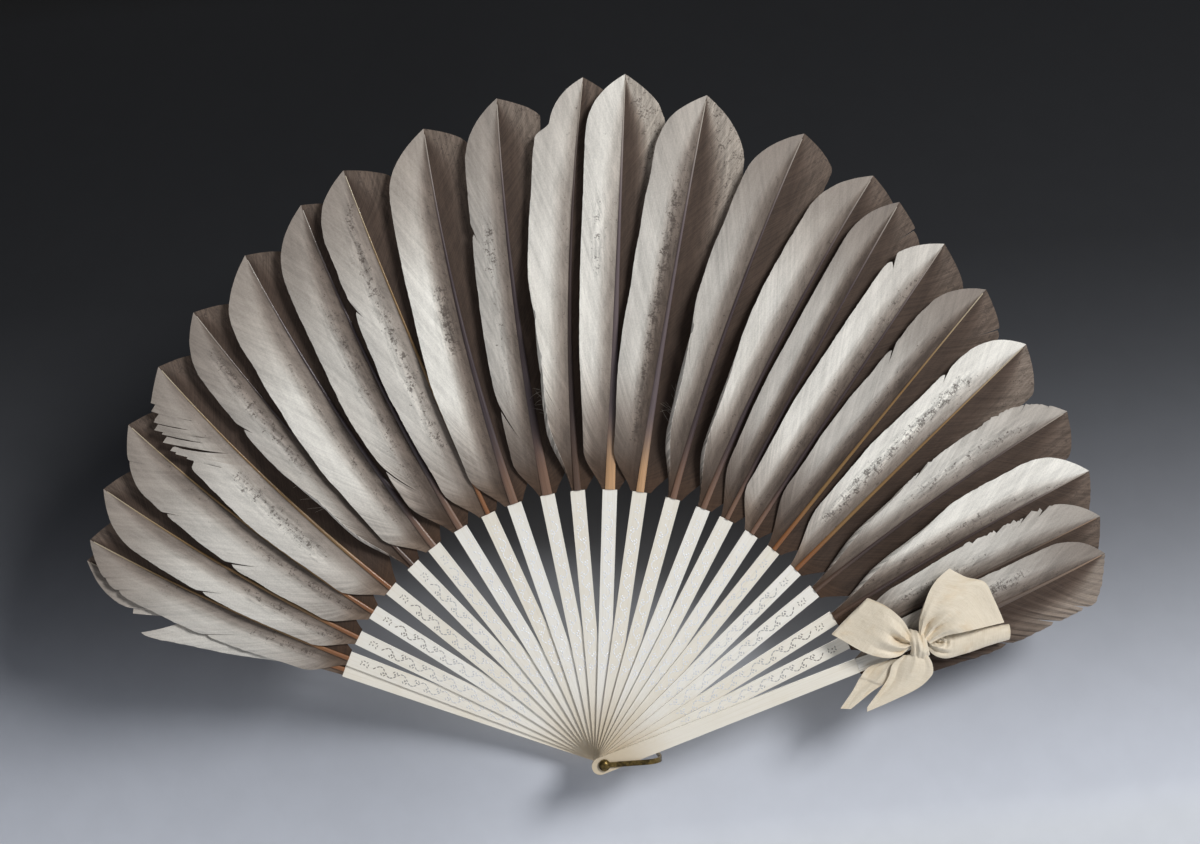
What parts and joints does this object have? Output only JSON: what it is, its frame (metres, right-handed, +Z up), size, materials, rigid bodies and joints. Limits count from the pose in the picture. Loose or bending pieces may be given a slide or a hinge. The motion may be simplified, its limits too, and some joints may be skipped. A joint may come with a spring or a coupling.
{
  "type": "folding feather fan",
  "caption": "Folding hand fan of pale goose feathers on slim bone sticks that turn on one brass rivet, with a brass bail over the rivet and a silk ribbon bow on the front guard.",
  "frame": {"origin": "on the rivet's axis, at the flat back of the rivet's rear head", "axes": "+Z up, from the rivet towards the middle feather; +X to the viewer's right, towards the front guard; the front of the fan faces -Y and the rivet lies along Y"},
  "size_m": [0.4864, 0.0433, 0.3299],
  "materials": {
    "bone": "satin",
    "feather": "satin",
    "brass": "satin",
    "silk": "satin"
  },
  "bodies": {
    "rear_leaf": {"guard_rear": "bone", "feather_01": "feather", "rivet": "brass"},
    "leaf_02": {"stick_02": "bone", "feather_02": "feather"},
    "leaf_03": {"stick_03": "bone", "feather_03": "feather"},
    "leaf_04": {"stick_04": "bone", "feather_04": "feather"},
    "leaf_05": {"stick_05": "bone", "feather_05": "feather"},
    "leaf_06": {"stick_06": "bone", "feather_06": "feather"},
    "leaf_07": {"stick_07": "bone", "feather_07": "feather"},
    "leaf_08": {"stick_08": "bone", "feather_08": "feather"},
    "leaf_09": {"stick_09": "bone", "feather_09": "feather"},
    "leaf_10": {"stick_10": "bone", "feather_10": "feather"},
    "leaf_11": {"stick_11": "bone", "feather_11": "feather"},
    "leaf_12": {"stick_12": "bone", "feather_12": "feather"},
    "leaf_13": {"stick_13": "bone", "feather_13": "feather"},
    "leaf_14": {"stick_14": "bone", "feather_14": "feather"},
    "leaf_15": {"stick_15": "bone", "feather_15": "feather"},
    "leaf_16": {"stick_16": "bone", "feather_16": "feather"},
    "leaf_17": {"stick_17": "bone", "feather_17": "feather"},
    "leaf_18": {"stick_18": "bone", "feather_18": "feather"},
    "leaf_19": {"stick_19": "bone", "feather_19": "feather"},
    "leaf_20": {"stick_20": "bone", "feather_20": "feather"},
    "leaf_21": {"stick_21": "bone", "feather_21": "feather"},
    "leaf_22": {"stick_22": "bone", "feather_22": "feather"},
    "leaf_23": {"stick_23": "bone", "feather_23": "feather"},
    "front_leaf": {"guard_front": "bone", "feather_24": "feather", "bow_knot": "silk", "bow_loop_left": "silk", "bow_loop_upper": "silk", "bow_loop_lower": "silk", "bow_tail_front": "silk", "bow_tail_back": "silk"},
    "bail": {"bail": "brass"}
  },
  "joints": [
    {"name": "spread", "type": "hinge", "parent": "rear_leaf", "child": "front_leaf", "pos_m": [0, 0, 0], "axis": [0, -1, 0], "range_deg": [0, 140.1]},
    {"name": "leaf_02_turn", "type": "hinge", "parent": "rear_leaf", "child": "leaf_02", "pos_m": [0, 0, 0], "axis": [0, -1, 0], "range_deg": [0, 2.61]},
    {"name": "leaf_03_turn", "type": "hinge", "parent": "rear_leaf", "child": "leaf_03", "pos_m": [0, 0, 0], "axis": [0, -1, 0], "range_deg": [0, 7.51]},
    {"name": "leaf_04_turn", "type": "hinge", "parent": "rear_leaf", "child": "leaf_04", "pos_m": [0, 0, 0], "axis": [0, -1, 0], "range_deg": [0, 13.81]},
    {"name": "leaf_05_turn", "type": "hinge", "parent": "rear_leaf", "child": "leaf_05", "pos_m": [0, 0, 0], "axis": [0, -1, 0], "range_deg": [0, 20.11]},
    {"name": "leaf_06_turn", "type": "hinge", "parent": "rear_leaf", "child": "leaf_06", "pos_m": [0, 0, 0], "axis": [0, -1, 0], "range_deg": [0, 26.91]},
    {"name": "leaf_07_turn", "type": "hinge", "parent": "rear_leaf", "child": "leaf_07", "pos_m": [0, 0, 0], "axis": [0, -1, 0], "range_deg": [0, 32.81]},
    {"name": "leaf_08_turn", "type": "hinge", "parent": "rear_leaf", "child": "leaf_08", "pos_m": [0, 0, 0], "axis": [0, -1, 0], "range_deg": [0, 39.51]},
    {"name": "leaf_09_turn", "type": "hinge", "parent": "rear_leaf", "child": "leaf_09", "pos_m": [0, 0, 0], "axis": [0, -1, 0], "range_deg": [0, 46.11]},
    {"name": "leaf_10_turn", "type": "hinge", "parent": "rear_leaf", "child": "leaf_10", "pos_m": [0, 0, 0], "axis": [0, -1, 0], "range_deg": [0, 52.01]},
    {"name": "leaf_11_turn", "type": "hinge", "parent": "rear_leaf", "child": "leaf_11", "pos_m": [0, 0, 0], "axis": [0, -1, 0], "range_deg": [0, 59.21]},
    {"name": "leaf_12_turn", "type": "hinge", "parent": "rear_leaf", "child": "leaf_12", "pos_m": [0, 0, 0], "axis": [0, -1, 0], "range_deg": [0, 65.61]},
    {"name": "leaf_13_turn", "type": "hinge", "parent": "rear_leaf", "child": "leaf_13", "pos_m": [0, 0, 0], "axis": [0, -1, 0], "range_deg": [0, 72.41]},
    {"name": "leaf_14_turn", "type": "hinge", "parent": "rear_leaf", "child": "leaf_14", "pos_m": [0, 0, 0], "axis": [0, -1, 0], "range_deg": [0, 78.71]},
    {"name": "leaf_15_turn", "type": "hinge", "parent": "rear_leaf", "child": "leaf_15", "pos_m": [0, 0, 0], "axis": [0, -1, 0], "range_deg": [0, 85.81]},
    {"name": "leaf_16_turn", "type": "hinge", "parent": "rear_leaf", "child": "leaf_16", "pos_m": [0, 0, 0], "axis": [0, -1, 0], "range_deg": [0, 92.51]},
    {"name": "leaf_17_turn", "type": "hinge", "parent": "rear_leaf", "child": "leaf_17", "pos_m": [0, 0, 0], "axis": [0, -1, 0], "range_deg": [0, 97.91]},
    {"name": "leaf_18_turn", "type": "hinge", "parent": "rear_leaf", "child": "leaf_18", "pos_m": [0, 0, 0], "axis": [0, -1, 0], "range_deg": [0, 104.01]},
    {"name": "leaf_19_turn", "type": "hinge", "parent": "rear_leaf", "child": "leaf_19", "pos_m": [0, 0, 0], "axis": [0, -1, 0], "range_deg": [0, 109.71]},
    {"name": "leaf_20_turn", "type": "hinge", "parent": "rear_leaf", "child": "leaf_20", "pos_m": [0, 0, 0], "axis": [0, -1, 0], "range_deg": [0, 116.01]},
    {"name": "leaf_21_turn", "type": "hinge", "parent": "rear_leaf", "child": "leaf_21", "pos_m": [0, 0, 0], "axis": [0, -1, 0], "range_deg": [0, 122.01]},
    {"name": "leaf_22_turn", "type": "hinge", "parent": "rear_leaf", "child": "leaf_22", "pos_m": [0, 0, 0], "axis": [0, -1, 0], "range_deg": [0, 128.91]},
    {"name": "leaf_23_turn", "type": "hinge", "parent": "rear_leaf", "child": "leaf_23", "pos_m": [0, 0, 0], "axis": [0, -1, 0], "range_deg": [0, 134.71]},
    {"name": "bail_swing", "type": "hinge", "parent": "rear_leaf", "child": "bail", "pos_m": [0, 0, 0], "axis": [0, -1, 0], "range_deg": [-187, 2]}
  ],
  "couplings": [
    {"joint": "leaf_02_turn", "follows": "spread", "ratio": 0.018558},
    {"joint": "leaf_03_turn", "follows": "spread", "ratio": 0.053533},
    {"joint": "leaf_04_turn", "follows": "spread", "ratio": 0.098501},
    {"joint": "leaf_05_turn", "follows": "spread", "ratio": 0.14347},
    {"joint": "leaf_06_turn", "follows": "spread", "ratio": 0.19201},
    {"joint": "leaf_07_turn", "follows": "spread", "ratio": 0.23412},
    {"joint": "leaf_08_turn", "follows": "spread", "ratio": 0.28194},
    {"joint": "leaf_09_turn", "follows": "spread", "ratio": 0.32905},
    {"joint": "leaf_10_turn", "follows": "spread", "ratio": 0.37116},
    {"joint": "leaf_11_turn", "follows": "spread", "ratio": 0.42256},
    {"joint": "leaf_12_turn", "follows": "spread", "ratio": 0.46824},
    {"joint": "leaf_13_turn", "follows": "spread", "ratio": 0.51677},
    {"joint": "leaf_14_turn", "follows": "spread", "ratio": 0.56174},
    {"joint": "leaf_15_turn", "follows": "spread", "ratio": 0.61242},
    {"joint": "leaf_16_turn", "follows": "spread", "ratio": 0.66024},
    {"joint": "leaf_17_turn", "follows": "spread", "ratio": 0.69879},
    {"joint": "leaf_18_turn", "follows": "spread", "ratio": 0.74233},
    {"joint": "leaf_19_turn", "follows": "spread", "ratio": 0.78301},
    {"joint": "leaf_20_turn", "follows": "spread", "ratio": 0.82798},
    {"joint": "leaf_21_turn", "follows": "spread", "ratio": 0.87081},
    {"joint": "leaf_22_turn", "follows": "spread", "ratio": 0.92006},
    {"joint": "leaf_23_turn", "follows": "spread", "ratio": 0.96146}
  ]
}
